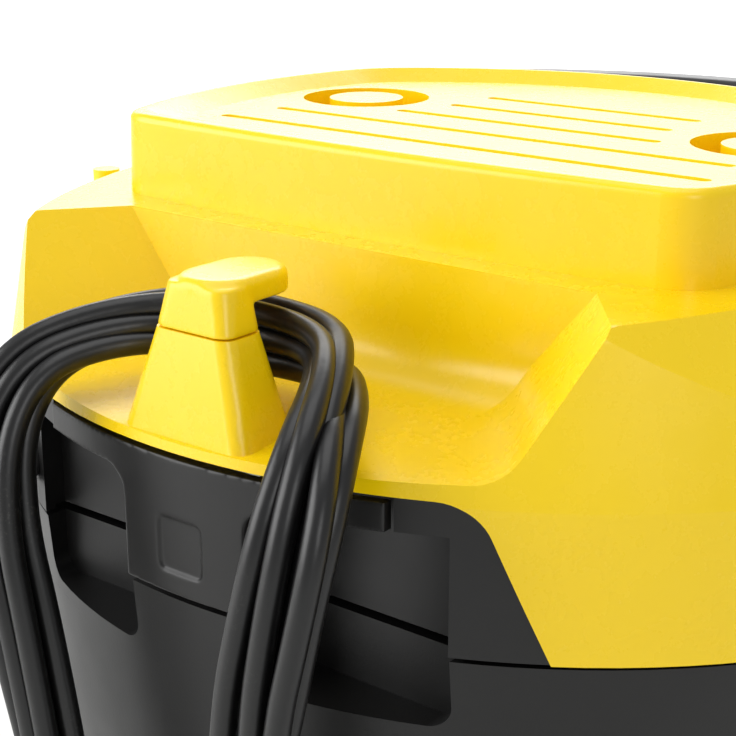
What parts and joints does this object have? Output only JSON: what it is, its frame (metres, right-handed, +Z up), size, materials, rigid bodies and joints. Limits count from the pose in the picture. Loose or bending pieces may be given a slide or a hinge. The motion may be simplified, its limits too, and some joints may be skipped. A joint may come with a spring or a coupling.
{
  "type": "shop vacuum",
  "caption": "Wet and dry shop vacuum: yellow motor head with a raised deck and a cable hook, on a round black tank with casters; wound mains cable.",
  "frame": {"origin": "on the floor under the middle of the drum, measured without the cord", "axes": "+Z up, +Y to the hose inlet and switch, -Y to the cable hook, +X to the right seen from the hook side"},
  "size_m": [0.34, 0.3988, 0.429],
  "materials": {
    "yellow_abs": "satin moulded",
    "black_pp": "fine textured",
    "grey_pp": "fine textured",
    "rubber": "matte",
    "cord_pvc": "satin",
    "steel": "zinc plated",
    "aluminium": "die cast",
    "copper": "enamelled wire",
    "lamination": "stacked sheet",
    "carbon": "moulded",
    "paper": "pleated paper",
    "float_pp": "moulded"
  },
  "bodies": {
    "tank": {"tank": "black_pp", "tank_ring": "black_pp", "inlet_socket": "grey_pp", "inlet_gasket": "rubber", "inlet_deflector": "black_pp"},
    "head": {"head_shell": "yellow_abs", "hook_cap": "yellow_abs", "rear_surround": "black_pp", "front_surround": "black_pp", "latch_pins": "steel", "motor_base": "black_pp", "head_screws": "steel", "head_gasket": "rubber", "blower_collar": "black_pp", "switch_body": "black_pp", "handle_pins": "steel", "motor_seal": "rubber", "fan_housing": "steel", "motor_bracket": "aluminium", "lower_bearing": "steel", "upper_bearing": "steel", "stator_core": "lamination", "stator_coils": "copper", "brush_holders": "carbon", "motor_cover": "black_pp", "filter_basket": "black_pp", "cord_gland": "rubber", "cord_clamp": "black_pp", "cord_lead": "cord_pvc", "cord_hank": "cord_pvc", "cord_tail": "cord_pvc", "power_plug": "rubber"},
    "rear_latch": {"rear_latch": "black_pp"},
    "front_latch": {"front_latch": "black_pp"},
    "handle": {"carry_handle": "black_pp"},
    "switch": {"switch_knob": "black_pp"},
    "rotor": {"motor_shaft": "steel", "rotor_core": "lamination", "commutator": "copper", "impeller": "aluminium", "impeller_nut": "steel"},
    "float": {"float_ball": "float_pp"},
    "filter": {"filter_cartridge": "paper", "filter_end_cap": "black_pp"},
    "filter_knob": {"filter_knob": "black_pp"},
    "caster_1": {"caster_1_fork": "grey_pp", "caster_1_axle": "steel"},
    "wheel_1": {"caster_1_wheel": "black_pp"},
    "caster_2": {"caster_2_fork": "grey_pp", "caster_2_axle": "steel"},
    "wheel_2": {"caster_2_wheel": "black_pp"},
    "caster_3": {"caster_3_fork": "grey_pp", "caster_3_axle": "steel"},
    "wheel_3": {"caster_3_wheel": "black_pp"},
    "caster_4": {"caster_4_fork": "grey_pp", "caster_4_axle": "steel"},
    "wheel_4": {"caster_4_wheel": "black_pp"}
  },
  "joints": [
    {"name": "head_lift", "type": "slide", "parent": "tank", "child": "head", "axis": [0, 0, 1], "range_m": [0, 0.25]},
    {"name": "rear_latch_hinge", "type": "hinge", "parent": "head", "child": "rear_latch", "pos_m": [0, -0.1595, 0.3585], "axis": [-1, 0, 0], "range_deg": [0, 10]},
    {"name": "front_latch_hinge", "type": "hinge", "parent": "head", "child": "front_latch", "pos_m": [0, 0.1595, 0.3585], "axis": [1, 0, 0], "range_deg": [0, 10]},
    {"name": "handle_swing", "type": "hinge", "parent": "head", "child": "handle", "pos_m": [0, 0, 0.4145], "axis": [1, 0, 0], "range_deg": [0, 90]},
    {"name": "switch_turn", "type": "hinge", "parent": "head", "child": "switch", "pos_m": [0, 0.16, 0.383], "axis": [0, 1, 0], "range_deg": [0, 90]},
    {"name": "rotor_spin", "type": "hinge", "parent": "head", "child": "rotor", "pos_m": [0, 0, 0.33], "axis": [0, 0, 1], "continuous": true},
    {"name": "float_rise", "type": "slide", "parent": "head", "child": "float", "axis": [0, 0, 1], "range_m": [0, 0.04]},
    {"name": "filter_pull", "type": "slide", "parent": "head", "child": "filter", "axis": [0, 0, -1], "range_m": [0, 0.04]},
    {"name": "filter_knob_turn", "type": "hinge", "parent": "filter", "child": "filter_knob", "pos_m": [0, 0, 0.146], "axis": [0, 0, 1], "range_deg": [0, 90]},
    {"name": "caster_1_swivel", "type": "hinge", "parent": "tank", "child": "caster_1", "pos_m": [-0.09, -0.09, 0.045], "axis": [0, 0, 1], "continuous": true},
    {"name": "wheel_1_roll", "type": "hinge", "parent": "caster_1", "child": "wheel_1", "pos_m": [-0.078, -0.09, 0.018], "axis": [0, 1, 0], "continuous": true},
    {"name": "caster_2_swivel", "type": "hinge", "parent": "tank", "child": "caster_2", "pos_m": [0.09, -0.09, 0.045], "axis": [0, 0, 1], "continuous": true},
    {"name": "wheel_2_roll", "type": "hinge", "parent": "caster_2", "child": "wheel_2", "pos_m": [0.102, -0.09, 0.018], "axis": [0, 1, 0], "continuous": true},
    {"name": "caster_3_swivel", "type": "hinge", "parent": "tank", "child": "caster_3", "pos_m": [-0.09, 0.09, 0.045], "axis": [0, 0, 1], "continuous": true},
    {"name": "wheel_3_roll", "type": "hinge", "parent": "caster_3", "child": "wheel_3", "pos_m": [-0.078, 0.09, 0.018], "axis": [0, 1, 0], "continuous": true},
    {"name": "caster_4_swivel", "type": "hinge", "parent": "tank", "child": "caster_4", "pos_m": [0.09, 0.09, 0.045], "axis": [0, 0, 1], "continuous": true},
    {"name": "wheel_4_roll", "type": "hinge", "parent": "caster_4", "child": "wheel_4", "pos_m": [0.102, 0.09, 0.018], "axis": [0, 1, 0], "continuous": true}
  ]
}
